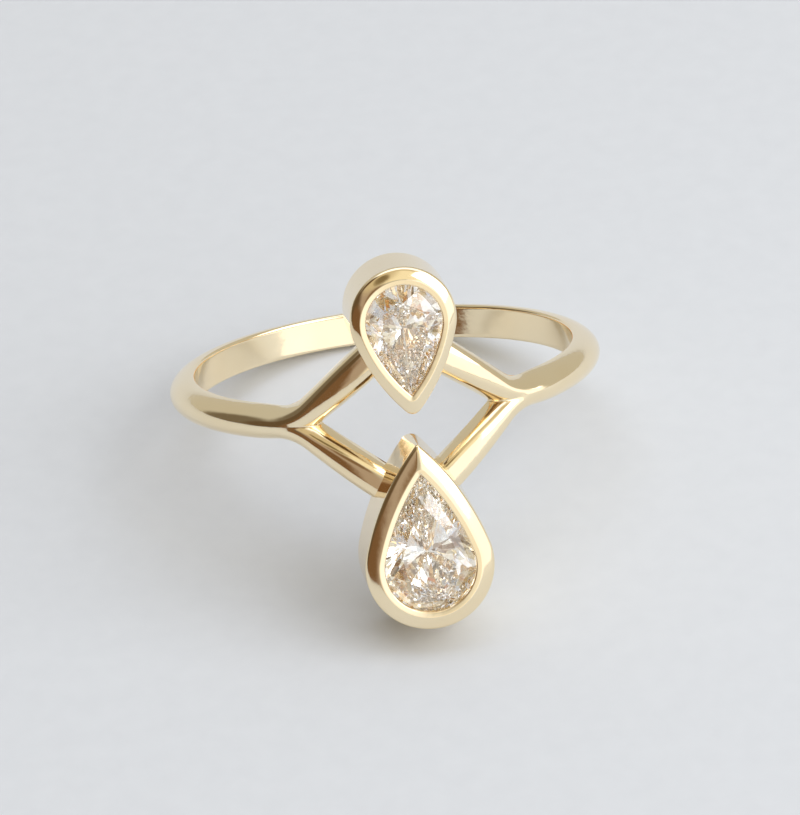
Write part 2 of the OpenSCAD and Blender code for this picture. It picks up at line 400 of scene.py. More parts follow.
@dataclass(frozen=True)
class Bezel:
    """A tall wall round one diamond, with a domed rim, a bright lip, a seat and an open back."""

    name: str
    stand: Stand
    # Height of the pear's round centre along the finger
    centre_z: float
    outside: Pear
    opening: Pear
    # How far the opening sits towards the tip, and how much blunter the tip is at the wall's back
    shift: float = 0.0
    tip_blunt: float = 0.0
    # Distances of the flat back and of the lip from the finger's axis
    back_y: float = 8.27
    rim_y: float = 11.42
    # The rim is part of an arc: its radius, its width, and how far past the arc's highest place it starts
    rim_r: float = 2.0
    rim_w: float = 0.48
    rim_past: float = 0.55
    # The lip falls a little towards the stone, turns over a small edge and drops straight
    lip_w: float = 0.24
    lip_fall: float = 0.015
    lip_edge: float = 0.05
    lip_depth: float = 0.3
    # Room for the stone's edge, and the slanted bearing below it
    seat_w: float = 0.19
    seat_bottom: float = 0.61
    bearing_w: float = 0.35
    # Roundings of the back, of the rim's outer edge and of the line between rim and lip
    back_round: float = 0.09
    back_break: float = 0.06
    shoulder_round: float = 0.12
    lip_round: float = 0.035
    # Where the plain wall's rows start, and how close a row stands to the end of the lip's drop
    wall_from: float = 0.4
    drop_row: float = 0.03
    # Rows in the back's rounding, the wall, the shoulder, the rim, the lip and the lip's edge
    back_rows: int = 6
    wall_rows: int = 7
    shoulder_rows: int = 7
    dome_rows: int = 12
    lip_rows: int = 4
    edge_rows: int = 5
    # Places of the rows in the rounding between rim and lip
    crest_rows: tuple[float, ...] = (0.35, 0.7, 1.0)
    # Steps in half of the tip arc, in one side arc and in half of the round end
    steps: tuple[int, int, int] = (10, 56, 44)

    @property
    def wall_h(self) -> float:
        """Height of the wall, from its back to its lip."""
        return self.rim_y - self.back_y

    def rim_height(self, share: float) -> float:
        """Height of the rim, which is an arc falling outwards, by the share of its width from the outside."""
        left = self.rim_past + (1 - share) * self.rim_w
        return self.wall_h + math.sqrt(self.rim_r**2 - left**2) - math.sqrt(self.rim_r**2 - self.rim_past**2)

    def wall_section(self) -> list[Row]:
        """The outside of the wall: the back's rounding, the plain wall, the shoulder and the rim.

        Returns:
            The rows, from the back up and in to where the lip starts.
        """
        r, shoulder = self.back_round, self.rim_height(0.0)
        made = [Row(0.0, -r * (1 - math.sin(t)), 0.0, r * (1 - math.cos(t)))
                for t in np.linspace(0, QUARTER, self.back_rows)]
        top = shoulder - self.shoulder_round
        made += [Row(0.0, 0.0, 0.0, float(z)) for z in np.linspace(self.wall_from, top, self.wall_rows)]
        first, last = self.shoulder_round / self.rim_w, 1 - self.lip_round / self.rim_w
        start, corner = np.array([0.0, top]), np.array([0.0, shoulder])
        end = np.array([first, self.rim_height(first)])
        for t in np.linspace(0, 1, self.shoulder_rows)[1:]:
            share, height = round_corner(start, corner, end, t)
            made.append(Row(float(share), 0.0, 0.0, float(height)))
        for share in np.linspace(first, last, self.dome_rows)[1:]:
            made.append(Row(float(share), 0.0, 0.0, self.rim_height(float(share))))
        return made

    def lip_section(self) -> list[Row]:
        """The lip, from the rounding beside the rim to the end of its drop.

        Returns:
            The rows, from the rim in and down.
        """
        h, w, q, e = self.wall_h, self.lip_w, self.lip_round, self.lip_edge
        flat = w - e
        before = np.array([w + q, self.rim_height(1 - q / self.rim_w)])
        after = np.array([w - q, h - self.lip_fall * q / flat])
        made = []
        for t in self.crest_rows:
            inner, height = round_corner(before, np.array([w, h]), after, t)
            made.append(Row(1.0, 0.0, float(inner - w), float(height)))
        for t in np.linspace(q / flat, 1.0, self.lip_rows)[1:]:
            made.append(Row(1.0, 0.0, -flat * float(t), h - self.lip_fall * float(t)))
        for t in np.linspace(0, QUARTER, self.edge_rows)[1:]:
            made.append(Row(1.0, 0.0, -flat - e * math.sin(t), h - self.lip_fall - e * (1 - math.cos(t))))
        made.append(Row(1.0, 0.0, -w, h - self.lip_depth + self.drop_row))
        made.append(Row(1.0, 0.0, -w, h - self.lip_depth))
        return made

    def seat_section(self) -> list[Row]:
        """The seat, the bearing and the open way to the back.

        Returns:
            The rows, from under the lip down to the back.
        """
        h, seat = self.wall_h, self.seat_w - self.lip_w
        way, corner = seat - self.bearing_w, self.back_break / 3
        return [
            Row(1.0, 0.0, seat, h - self.lip_depth),
            Row(1.0, 0.0, seat, h - self.seat_bottom),
            Row(1.0, 0.0, way, h - self.seat_bottom - self.bearing_w),
            Row(1.0, 0.0, way, self.back_break),
            Row(1.0, 0.0, way + corner, corner),
            Row(1.0, 0.0, way + self.back_break, 0.0),
        ]

    def place(self, flat: np.ndarray) -> np.ndarray:
        """Puts points of the pear's own plane and height on the upright ring."""
        up = self.centre_z + self.stand.value * flat[..., 1]
        return np.stack([flat[..., 0], -self.back_y - flat[..., 2], up], axis=-1)

    def wall_distance(self, p: np.ndarray) -> np.ndarray:
        """Distance of points of the upright ring outside this wall's outline."""
        return self.outside.distance(p[..., 0], (p[..., 2] - self.centre_z) * self.stand.value)

    def line(self, row: Row, part: np.ndarray, side: np.ndarray) -> np.ndarray:
        """Lays one row round the pear.

        Args:
            row: the row.
            part: part of each station.
            side: +1 on the right half or -1 on the left.

        Returns:
            The stations in the pear's own plane and height.
        """
        nose = self.outside.nose_r + row.out + self.tip_blunt * (1 - row.height / self.wall_h)
        a = Pear(self.outside.round_r + row.out, self.outside.far, nose).at(part)
        b = self.opening.grown(self.lip_w).grown(row.inner).at(part) + np.array([0.0, self.shift])
        flat = a * (1 - row.share) + b * row.share
        return np.stack([flat[:, 0] * side, flat[:, 1], np.full(len(part), row.height)], axis=-1)

    def build(self) -> Skin:
        """Sweeps the section round the pear.

        Returns:
            The wall's surface.
        """
        part, side = around(*self.steps)
        rows = self.wall_section() + self.lip_section() + self.seat_section()
        grid = self.place(np.array([self.line(row, part, side) for row in rows]))
        m, n = grid.shape[:2]
        along = np.roll(grid, -1, axis=1) - np.roll(grid, 1, axis=1)
        up = np.roll(grid, -1, axis=0) - np.roll(grid, 1, axis=0)
        out = np.cross(along, up)
        if self.stand is Stand.TIP_UP:
            out = -out
        out /= np.maximum(np.linalg.norm(out, axis=-1, keepdims=True), TINY)
        j, i = np.meshgrid(np.arange(m), np.arange(n), indexing="ij")
        j2, i2 = (j + 1) % m, (i + 1) % n
        quads = np.stack([j * n + i, j * n + i2, j2 * n + i2, j2 * n + i], axis=-1).reshape(-1, 4)
        points = grid.reshape(-1, 3)
        return Skin(points, out.reshape(-1, 3), facing(points, quads))


# Band and arms


@dataclass(frozen=True)
class Shank:
    """The half-round band, which forks on both sides of the head into two arms that follow the finger."""

    bezels: tuple[Bezel, ...]
    band_w: float = 1.5
    band_t: float = 1.15
    # Width of an arm at its fork, and how much wider and how much flatter on top it is at its bezel
    arm_w: float = 1.3
    arm_swell: float = 0.22
    arm_flat: float = 1.1
    arm_t: float = 1.06
    # Height of the flat sides below the dome
    side_h: float = 0.12
    # Distances across the head of the fork and of an arm's end, and that end's height along the finger
    fork_x: float = 4.73
    arm_end_x: float = 1.34
    arm_end_z: float = 2.75
    # Radius of the bend from band to arm, and how far the centre line runs on at either end
    bend_r: float = 2.8
    bend_steps: int = 25
    band_run: float = 4.0
    arm_run: float = 0.7
    # Places, counted from the fork, between which the band's section becomes an arm's
    easing: tuple[float, float] = (-0.6, 2.2)
    # The same for the two arms' parting, whose crease is this wide, and at least this share of it
    parting: tuple[float, float] = (-0.2, 0.9)
    crease: float = 0.06
    least_crease: float = 0.02
    # How far past the fork the arms are worked out, and how deep they reach into a bezel's wall
    arms_to: float = 2.6
    root_depth: float = 0.45
    inner_round: float = 0.14
    # The net on the flat layout: spacing at the head and elsewhere, and how far each reaches
    fine: float = 0.07
    coarse: float = 0.15
    head_to: float = 7.6
    net_z: tuple[float, float] = (-3.95, 3.96)
    net_h: tuple[float, float] = (-0.17, 1.85)
    # Settling: how often, the longest move, the least slope squared, and the reach of a slope's measure
    settlings: int = 4
    longest_move: float = 0.06
    least_slope: float = 0.05
    probe: float = 1e-3

    @property
    def fork_s(self) -> float:
        """Place of the fork on the flat layout."""
        return UNROLL_R * math.asin(self.fork_x / UNROLL_R)

    def arm_path(self) -> np.ndarray:
        """Centre line of the upper right arm on the flat layout.

        Returns:
            Points from the band round the bend to the bezel.
        """
        fork = np.array([self.fork_s, 0.0])
        end = np.array([UNROLL_R * math.asin(self.arm_end_x / UNROLL_R), self.arm_end_z])
        way = (end - fork) / np.linalg.norm(end - fork)
        turn = math.atan2(way[1], -way[0])
        centre = np.array([fork[0] + self.bend_r * math.tan(turn / 2), self.bend_r])
        bend = [centre + self.bend_r * np.array([-math.sin(t), -math.cos(t)])
                for t in np.linspace(0, turn, self.bend_steps)]
        return np.array([[fork[0] + self.band_run, 0.0], *bend, end + way * self.arm_run])

    def off_path(self, s: np.ndarray, z: np.ndarray) -> np.ndarray:
        """Distance on the flat layout from the upper right arm's centre line.

        Args:
            s: distance along the finger's round.
            z: height along the finger.

        Returns:
            The distance of each place.
        """
        path = self.arm_path()
        best = np.full(s.shape, FAR_OFF)
        for a, b in zip(path[:-1], path[1:]):
            d = b - a
            t = np.clip(((s - a[0]) * d[0] + (z - a[1]) * d[1]) / (d @ d), 0, 1)
            best = np.minimum(best, (s - a[0] - t * d[0]) ** 2 + (z - a[1] - t * d[1]) ** 2)
        return np.sqrt(best)

    def half_round(self, off: np.ndarray, h: np.ndarray, s: np.ndarray) -> np.ndarray:
        """Distance outside a half-round bar, whose section eases from the band's to an arm's.

        Args:
            off: distance from the bar's centre line.
            h: height above the finger hole's surface.
            s: distance along the finger's round.

        Returns:
            The distance, negative inside the bar.
        """
        ease = smooth_step(self.fork_s + self.easing[0], self.fork_s + self.easing[1], s)
        root = 1 - smooth_step(self.arm_end_x, self.fork_s, s)
        w = self.arm_w + (self.band_w - self.arm_w) * ease + self.arm_swell * root
        t = self.arm_t + (self.band_t - self.arm_t) * ease
        dome = np.maximum(h - self.side_h, 0) * (w / 2) / (t - self.side_h)
        power = 2 + self.arm_flat * root
        top = (np.abs(off) ** power + dome**power) ** (1 / power) - w / 2
        return smooth_max(top, -h, self.inner_round)

    def distance(self, s: np.ndarray, z: np.ndarray, h: np.ndarray) -> np.ndarray:
        """Distance outside the band and arms on the flat layout.

        Args:
            s: distance along the finger's round from the middle of the head, on either side.
            z: height along the finger.
            h: height above the finger hole's surface.

        Returns:
            The distance, negative inside the metal.
        """
        s = np.abs(s)
        metal = self.half_round(np.abs(z), h, s)
        head = s < self.fork_s + self.arms_to
        if not head.any():
            return metal
        sh, zh, hh = s[head], z[head], h[head]
        upper = self.half_round(self.off_path(sh, zh), hh, sh)
        lower = self.half_round(self.off_path(sh, -zh), hh, sh)
        apart = 1 - smooth_step(self.fork_s + self.parting[0], self.fork_s + self.parting[1], sh)
        crease = self.crease * np.maximum(apart, self.least_crease)
        arms = np.where(apart > 0, smooth_min(upper, lower, crease), metal[head])
        rho = FINGER_R + hh
        p = np.stack([rho * np.sin(sh / UNROLL_R), -rho * np.cos(sh / UNROLL_R), zh], axis=-1)
        for bezel in self.bezels:
            arms = np.maximum(arms, -bezel.wall_distance(p) - self.root_depth)
        metal[head] = arms
        return metal

    def slope(self, p: np.ndarray) -> tuple[np.ndarray, np.ndarray]:
        """Measures the distance and how it changes.

        Args:
            p: points of the flat layout.

        Returns:
            The distance at each point, and its slope there.
        """
        value = self.distance(p[:, 0], p[:, 1], p[:, 2])
        grad = np.empty_like(p)
        for k in range(3):
            a, b = p.copy(), p.copy()
            a[:, k] += self.probe
            b[:, k] -= self.probe
            grad[:, k] = (self.distance(*a.T) - self.distance(*b.T)) / (2 * self.probe)
        return value, grad

    def net(self) -> tuple[np.ndarray, np.ndarray]:
        """Nets the metal's surface on the flat layout, closely at the head.

        Returns:
            Points, with the distance along the finger's round counted from the middle of the head to
            either side, and quads.
        """
        whole = 2 * math.pi * UNROLL_R
        fine = np.arange(0, self.head_to, self.fine)
        count = int((whole - 2 * self.head_to) / self.coarse)
        middle = np.linspace(self.head_to, whole - self.head_to, count)
        s = np.concatenate([fine, middle, (whole - fine)[::-1]])
        z, h = np.arange(*self.net_z, self.fine), np.arange(*self.net_h, self.fine)
        near = np.minimum(s, whole - s)
        grid = np.broadcast_arrays(near[:, None, None], z[None, :, None], h[None, None, :])
        values = self.distance(*(g.ravel().copy() for g in grid)).reshape(len(s), len(z), len(h))
        points, quads = surface_net(s, z, h, values)
        points[:, 0] = np.where(points[:, 0] > whole / 2, points[:, 0] - whole, points[:, 0])
        return points, quads

    def settled(self, points: np.ndarray) -> np.ndarray:
        """Moves the net's points onto the true surface, a little at a time.

        Args:
            points: the net's points on the flat layout.

        Returns:
            The moved points.
        """
        made = points.copy()
        for _ in range(self.settlings):
            value, grad = self.slope(made)
            steep = np.maximum((grad**2).sum(1, keepdims=True), self.least_slope)
            step = value[:, None] * grad / steep
            length = np.linalg.norm(step, axis=1, keepdims=True)
            made -= step * np.minimum(1, self.longest_move / np.maximum(length, TINY))
        return made

    def build(self) -> Skin:
        """Nets the surface on the flat layout, settles it on the true surface and rolls it up.

        Returns:
            The surface of band and arms.
        """
        net, quads = self.net()
        flat = self.settled(net)
        _, grad = self.slope(flat)
        turn, rho = flat[:, 0] / UNROLL_R, FINGER_R + flat[:, 2]
        sin, cos = np.sin(turn), np.cos(turn)
        around_way = np.stack([cos, sin, np.zeros_like(sin)], axis=-1)
        out_way = np.stack([sin, -cos, np.zeros_like(sin)], axis=-1)
        rolled = out_way * rho[:, None] + np.array([0, 0, 1.0]) * flat[:, 1:2]
        outward = around_way * (grad[:, :1] * (UNROLL_R / rho)[:, None]) + out_way * grad[:, 2:3]
        outward[:, 2] += grad[:, 1]
        outward /= np.maximum(np.linalg.norm(outward, axis=1, keepdims=True), TINY)
        return Skin(rolled, outward, facing(rolled, quads))


# Finishes


@dataclass(frozen=True)
class Gold:
    """Polished pale yellow gold, with the faint unevenness that hand polishing leaves."""

    pale: Colour = (1.0, 0.86, 0.605)
    deep: Colour = (0.985, 0.82, 0.545)
    # Roughness where the polish is best, and how much is added where it is worst
    polish: float = 0.07
    haze: float = 0.05
    # Cells to a metre, finer layers, and the bounds between which a cloud turns from one state to the other
    cloud_scale: float = 260.0
    cloud_detail: float = 3.0
    tint_bounds: tuple[float, float] = (0.3, 0.7)
    haze_bounds: tuple[float, float] = (0.35, 0.75)
    wave_scale: float = 1500.0
    wave_detail: float = 2.5
    wave_height: float = 0.000006

    def material(self) -> bpy.types.Material:
        """Builds the finish.

        Returns:
            The material.
        """
        made, shader = principled("polished_gold")
        tree = made.node_tree
        place = tree.nodes.new("ShaderNodeTexCoord").outputs["Object"]
        cloud = noise(tree, place, self.cloud_scale, self.cloud_detail)
        tint = ramp(tree, cloud, tuple(zip(self.tint_bounds, (self.deep, self.pale))))
        tree.links.new(tint, shader.inputs["Base Color"])
        best, worst = (self.polish,) * 3, (self.polish + self.haze,) * 3
        rough = ramp(tree, cloud, tuple(zip(self.haze_bounds, (best, worst))))
        tree.links.new(rough, shader.inputs["Roughness"])
        shader.inputs["Metallic"].default_value = 1.0
        raise_by(tree, noise(tree, place, self.wave_scale, self.wave_detail), shader, self.wave_height)
        return made


@dataclass(frozen=True)
class ClearDiamond:
    """Cut diamond, near colourless, with faint peach and lilac flashes painted into its colour as the fire
    where white light parts.
    """

    clear: Colour = (0.985, 0.97, 0.92)
    # Painted fire: tints laid into the stone's colour in place of the flashes of parted light
    painted_fire_peach: Colour = (1.0, 0.80, 0.66)
    painted_fire_lilac: Colour = (0.82, 0.87, 1.0)
    # Bounds of the painted fire: peach ends, clear begins, clear ends, lilac begins
    painted_fire_bounds: tuple[float, ...] = (0.34, 0.44, 0.58, 0.68)
    painted_fire_scale: float = 2400.0
    painted_fire_detail: float = 1.0
    bend: float = 2.417
    polish: float = 0.012

    def material(self) -> bpy.types.Material:
        """Builds the finish.

        Returns:
            The material.
        """
        made, shader = principled("diamond")
        tree = made.node_tree
        place = tree.nodes.new("ShaderNodeTexCoord").outputs["Object"]
        # Painted fire: random patches of peach and lilac stand in for the flashes of parted light
        painted_fire = noise(tree, place, self.painted_fire_scale, self.painted_fire_detail)
        colours = (self.painted_fire_peach, self.clear, self.clear, self.painted_fire_lilac)
        tint = ramp(tree, painted_fire, tuple(zip(self.painted_fire_bounds, colours)))
        tree.links.new(tint, shader.inputs["Base Color"])
        shader.inputs["Roughness"].default_value = self.polish
        shader.inputs["IOR"].default_value = self.bend
        shader.inputs["Transmission Weight"].default_value = 1.0
        return made


@dataclass(frozen=True)
class PaperTable:
    """The matt, pale, cool surface that the ring lies on."""

    light: Colour = (0.77, 0.80, 0.85)
    shade: Colour = (0.75, 0.78, 0.83)
    grain_scale: float = 900.0
    grain_detail: float = 5.0
    grain_bounds: tuple[float, float] = (0.3, 0.7)
    grain_height: float = 0.0001
    grain_strength: float = 0.15
    roughness: float = 0.8
    shine: float = 0.2

    def material(self) -> bpy.types.Material:
        """Builds the finish.

        Returns:
            The material.
        """
        made, shader = principled("pale_paper")
        tree = made.node_tree
        place = tree.nodes.new("ShaderNodeTexCoord").outputs["Object"]
        grain = noise(tree, place, self.grain_scale, self.grain_detail)
        tint = ramp(tree, grain, tuple(zip(self.grain_bounds, (self.shade, self.light))))
        tree.links.new(tint, shader.inputs["Base Color"])
        shader.inputs["Roughness"].default_value = self.roughness
        shader.inputs["Specular IOR Level"].default_value = self.shine
        raise_by(tree, grain, shader, self.grain_height, self.grain_strength)
        return made


def principled(name: str) -> tuple[bpy.types.Material, bpy.types.ShaderNode]:
    """Starts a new material.

    Args:
        name: the material's name.

    Returns:
        The material and the shader node in it.
    """
    made = bpy.data.materials.new(name)
    made.use_nodes = True
    return made, next(n for n in made.node_tree.nodes if n.type == "BSDF_PRINCIPLED")


def noise(
    tree: bpy.types.NodeTree, place: bpy.types.NodeSocket, scale: float, detail: float
) -> bpy.types.NodeSocket:
    """Soft noise in the piece's own space.

    Args:
        tree: the material's node tree.
        place: the socket that gives the place.
        scale: how many cells to a metre.
        detail: how many finer layers are added.

    Returns:
        The socket with the value.
    """
    node = tree.nodes.new("ShaderNodeTexNoise")
    node.inputs["Scale"].default_value = scale
    node.inputs["Detail"].default_value = detail
    tree.links.new(place, node.inputs["Vector"])
    return node.outputs["Fac"]


def ramp(tree: bpy.types.NodeTree, value: bpy.types.NodeSocket, stops: Stops) -> bpy.types.NodeSocket:
    """Turns a value into a colour.

    Args:
        tree: the node tree.
        value: the socket to read.
        stops: pairs of a place and a colour, in order.

    Returns:
        The socket with the colour.
    """
    node = tree.nodes.new("ShaderNodeValToRGB")
    middle = 0.5
    while len(node.color_ramp.elements) < len(stops):
        node.color_ramp.elements.new(middle)
    for element, (place, colour) in zip(node.color_ramp.elements, stops):
        element.position = place
        element.color = (*colour, 1.0)
    tree.links.new(value, node.inputs["Fac"])
    return node.outputs["Color"]


def raise_by(
    tree: bpy.types.NodeTree,
    value: bpy.types.NodeSocket,
    shader: bpy.types.ShaderNode,
    height: float,
    strength: float = 1.0,
) -> None:
    """Lets a value lift a finish's surface.

    Args:
        tree: the material's node tree.
        value: the socket to read.
        shader: the material's shader.
        height: lift where the value is 1, in metres.
        strength: share of the lift that shows.
    """
    bump = tree.nodes.new("ShaderNodeBump")
    bump.inputs["Strength"].default_value = strength
    bump.inputs["Distance"].default_value = height
    tree.links.new(value, bump.inputs["Height"])
    tree.links.new(bump.outputs["Normal"], shader.inputs["Normal"])


# Metal


@dataclass
class RingBody:
    """Band, arms and both bezels, soldered into one piece of gold."""

    shank: Shank
    finish: Gold
    skins: dict[Source, list[tuple[BVHTree, Skin]]] = field(default_factory=dict)

    def part(self, name: str, source: Source, skin: Skin) -> bpy.types.Object:
        """Makes one part of the metal, and keeps what its surface says.

        Args:
            name: the part's name.
            source: what kind of part it is.
            skin: its surface.

        Returns:
            The part, in triangles.
        """
        made = mesh_object(name, skin.points, skin.quads)
        bm = bmesh.new()
        bm.from_mesh(made.data)
        bmesh.ops.triangulate(bm, faces=bm.faces)
        bm.to_mesh(made.data)
        bm.free()
        for _ in Source:
            made.data.materials.append(None)
        made.data.polygons.foreach_set("material_index", [source.value] * len(made.data.polygons))
        tree = BVHTree.FromPolygons([tuple(p) for p in skin.points], [tuple(map(int, q)) for q in skin.quads])
        self.skins.setdefault(source, []).append((tree, skin))
        return made

    def build(self) -> bpy.types.Object:
        """Joins the parts into one solid.

        Returns:
            The finished piece, in metres, lying as the ring rests.
        """
        base = self.part("ring_metal", Source.SHANK, self.shank.build())
        others = [self.part(b.name, Source.BEZEL, b.build()) for b in self.shank.bezels]
        for other in others:
            join = base.modifiers.new("join", "BOOLEAN")
            join.operation, join.solver, join.object = "UNION", "MANIFOLD", other
        settled = base.evaluated_get(bpy.context.evaluated_depsgraph_get())
        mesh = bpy.data.meshes.new_from_object(settled)
        base.modifiers.clear()
        base.data = mesh
        for other in others:
            bpy.data.objects.remove(other)
        outward = self.corner_directions(mesh)
        points = column(mesh.vertices, "co", float, 3).reshape(-1, 3)
        mesh.vertices.foreach_set("co", (resting(points) * MM).astype(np.float32).ravel())
        mesh.materials.clear()
        mesh.materials.append(self.finish.material())
        mesh.polygons.foreach_set("material_index", [0] * len(mesh.polygons))
        mesh.polygons.foreach_set("use_smooth", [True] * len(mesh.polygons))
        mesh.update()
        mesh.normals_split_custom_set([tuple(n) for n in resting(outward)])
        return base

    def corner_directions(self, mesh: bpy.types.Mesh) -> np.ndarray:
        """Finds the direction of the true surface that each corner comes from.

        Args:
            mesh: the joined mesh, still upright and in millimetres.

        Returns:
            One outward direction a corner.
        """
        points = column(mesh.vertices, "co", float, 3).reshape(-1, 3)
        index = column(mesh.polygons, "material_index", np.int32)
        corners = column(mesh.polygons, "loop_total", np.int32)
        vertex = column(mesh.loops, "vertex_index", np.int32)
        source_of = np.repeat(index, corners)
        outward = np.zeros((len(mesh.loops), 3))
        for source, skins in self.skins.items():
            mine = source_of == source.value
            found = np.zeros_like(points)
            for v in np.unique(vertex[mine]):
                found[v] = nearest_outward(skins, points[v])
            outward[mine] = found[vertex[mine]]
        return outward


def nearest_outward(skins: list[tuple[BVHTree, Skin]], place: np.ndarray) -> np.ndarray:
    """Outward direction of the nearest of some surfaces.

    Args:
        skins: each surface with its search tree.
        place: where to look.

    Returns:
        The direction, blended between the corners of the quad found.
    """
    touching = 1e-6
    best, made = FAR_OFF, np.array([0.0, 0.0, 1.0])
    for tree, skin in skins:
        spot, _, number, off = tree.find_nearest(Vector(place))
        if number is None or off >= best:
            continue
        best = off
        corners = skin.quads[number]
        gap = np.linalg.norm(skin.points[corners] - np.array(spot), axis=1)
        weight = 1 / np.maximum(gap, touching) ** 2
        made = (skin.outward[corners] * weight[:, None]).sum(0)
    return made / max(np.linalg.norm(made), TINY)


# Diamonds


class Facet(NamedTuple):
    """One cut through a stone: a place on it and its outward direction, in the pear's plane and height."""

    place: np.ndarray
    out: np.ndarray


class FacetRow(NamedTuple):
    """One row of small facets under a stone.

    Share is its way from the culet, 0, to the edge, 1. Count is its number of facets, and start is how far
    past the tip the first one is, in steps.
    """

    share: float
    count: int
    start: float


def crossing(place_a: np.ndarray, way_a: np.ndarray, place_b: np.ndarray, way_b: np.ndarray) -> np.ndarray:
    """Where two lines of one plane cross.

    Args:
        place_a: a place on the first line.
        way_a: the direction square to the first line.
        place_b: a place on the second line.
        way_b: the direction square to the second line.

    Returns:
        X and Y of the crossing.
    """
    return np.linalg.solve(np.array([way_a, way_b]), [place_a @ way_a, place_b @ way_b])


def facet_through(a: np.ndarray, b: np.ndarray, c: np.ndarray) -> Facet:
    """The facet of the crown that runs through three points.

    Args:
        a: the first point, which the facet keeps as its place.
        b: the second point.
        c: the third point.

    Returns:
        The facet, looking up.
    """
    d = np.cross(b - a, c - a)
    d /= np.linalg.norm(d)
    return Facet(a, d * np.sign(d[2]))


@dataclass(frozen=True)
class PearDiamond:
    """A pear brilliant, cut plane by plane from a blank with the outline of its setting."""

    name: str
    bezel: Bezel
    # How far the stone's edge reaches under the lip
    grip: float = 0.16
    # Depths and heights from the lip: the edge's top, the edge's thickness and the table
    girdle_drop: float = 0.48
    girdle_t: float = 0.1
    table_rise: float = 0.06
    # Shares: the table's of the outline, the pavilion's depth of the stone's width, the stars' of the crown
    table_share: float = 0.58
    pavilion_share: float = 0.42
    star_share: float = 0.55
    # Where the culet lies on the way from the round end's centre to the middle of the stone's length
    culet_share: float = 0.5
    mains: int = 8
    rows: tuple[FacetRow, ...] = (
        FacetRow(0.08, 7, 0.0),
        FacetRow(0.22, 9, 0.5),
        FacetRow(0.38, 11, 0.0),
        FacetRow(0.56, 15, 0.5),
        FacetRow(0.75, 19, 0.0),
        FacetRow(0.95, 23, 0.5),
    )
    # How much the pavilion bulges, how far the hand slips at each facet, in degrees, and the draw's start
    swell: float = 0.14
    hand_slip: float = 0.5
    slip_seed: int = 11
    # The blank: steps in half of the tip, in one side and in half of the round end, and its reach
    blank_steps: tuple[int, int, int] = (3, 22, 22)
    blank_below: float = 2.6
    blank_above: float = 0.4
    # Steps of the outline's measure, and how far ahead its direction is read
    measure_steps: tuple[int, int, int] = (24, 160, 160)
    ahead: float = 0.01

    @property
    def edge(self) -> Pear:
        """Outline of the stone's widest line."""
        return self.bezel.opening.grown(self.grip)

    @property
    def edge_top(self) -> float:
        """Height of the widest line's upper side."""
        return self.bezel.wall_h - self.girdle_drop

    @property
    def edge_low(self) -> float:
        """Height of the widest line's lower side."""
        return self.bezel.wall_h - self.girdle_drop - self.girdle_t

    @property
    def top(self) -> float:
        """Height of the table."""
        return self.bezel.wall_h + self.table_rise

    def stations(self, count: int, start: float = 0.0) -> tuple[np.ndarray, np.ndarray]:
        """Points evenly spaced round the edge, and the directions out of it.

        Args:
            count: how many points.
            start: how far past the tip the first is, in steps.

        Returns:
            One row of X and Y a point, and the same for the directions.
        """
        line = self.edge.whole(*around(*self.measure_steps))
        closed = np.vstack([line, line[:1]])
        run = np.concatenate([[0], np.cumsum(np.linalg.norm(np.diff(closed, axis=0), axis=1))])
        want = (np.arange(count) + start) / count * run[-1]
        points, front, back = (
            np.stack([np.interp(place, run, closed[:, k]) for k in (0, 1)], axis=-1)
            for place in (want, (want + self.ahead) % run[-1], (want - self.ahead) % run[-1])
        )
        along = front - back
        out = np.stack([-along[:, 1], along[:, 0]], axis=-1)
        out *= np.sign((out * points).sum(1, keepdims=True))
        return points, out / np.linalg.norm(out, axis=1, keepdims=True)

    def crown(self, ring: np.ndarray, out: np.ndarray, culet: np.ndarray) -> list[Facet]:
        """The facets above the edge.

        Args:
            ring: points round the edge, two for each main facet.
            out: the directions out of the edge there.
            culet: where the stone's lowest point lies, seen from above.

        Returns:
            The table, then each main facet with its star and its two upper girdle facets.
        """
        m, edge_top, top = self.mains, self.edge_top, self.top
        made = [Facet(np.array([0, 0, top]), np.array([0, 0, 1.0]))]
        main, way = ring[::2], out[::2]
        table = culet + self.table_share * (main - culet)
        fall = (top - edge_top) / ((main - table) * way).sum(1)
        star_z = edge_top + self.star_share * (top - edge_top)
        star_line = table + way * ((top - star_z) / fall)[:, None]
        for k in range(m):
            n, middle = (k + 1) % m, 2 * k + 1
            made.append(Facet(np.array([*main[k], edge_top]), np.array([*(way[k] * fall[k]), 1.0])))
            star = np.array([*crossing(star_line[k], way[k], star_line[n], way[n]), star_z])
            made.append(facet_through(np.array([*table[k], top]), np.array([*table[n], top]), star))
            for a, b in ((2 * k, middle), (middle, (2 * k + 2) % (2 * m))):
                # An arc rises above its chord by an eighth of its span times its turn
                halfway = (out[a] + out[b]) / np.linalg.norm(out[a] + out[b])
                span = np.linalg.norm(ring[a] - ring[b])
                bulge = halfway * span * np.linalg.norm(out[a] - out[b]) / 8
                upper = facet_through(star, np.array([*ring[a], edge_top]), np.array([*ring[b], edge_top]))
                made.append(Facet(np.array([*(ring[a] + bulge), edge_top]), upper.out))
        return made

    def pavilion(self, culet: np.ndarray) -> list[Facet]:
        """The facets below the edge, row by row.

        Args:
            culet: where the stone's lowest point lies, seen from above.

        Returns:
            The facets, from the culet up.
        """
        deep = 2 * self.edge.round_r * self.pavilion_share
        bottom = self.edge_low - deep
        made = []
        for share, count, start in self.rows:
            line, off = self.stations(count, start)
            steep = deep * (1 + self.swell * (2 * share - 1)) / ((line - culet) * off).sum(1)
            height = bottom + deep * share * (1 + self.swell * (share - 1))
            for spot, way_out, rise in zip(culet + share * (line - culet), off, steep):
                made.append(Facet(np.array([*spot, height]), np.array([*(way_out * rise), -1.0])))
        return made

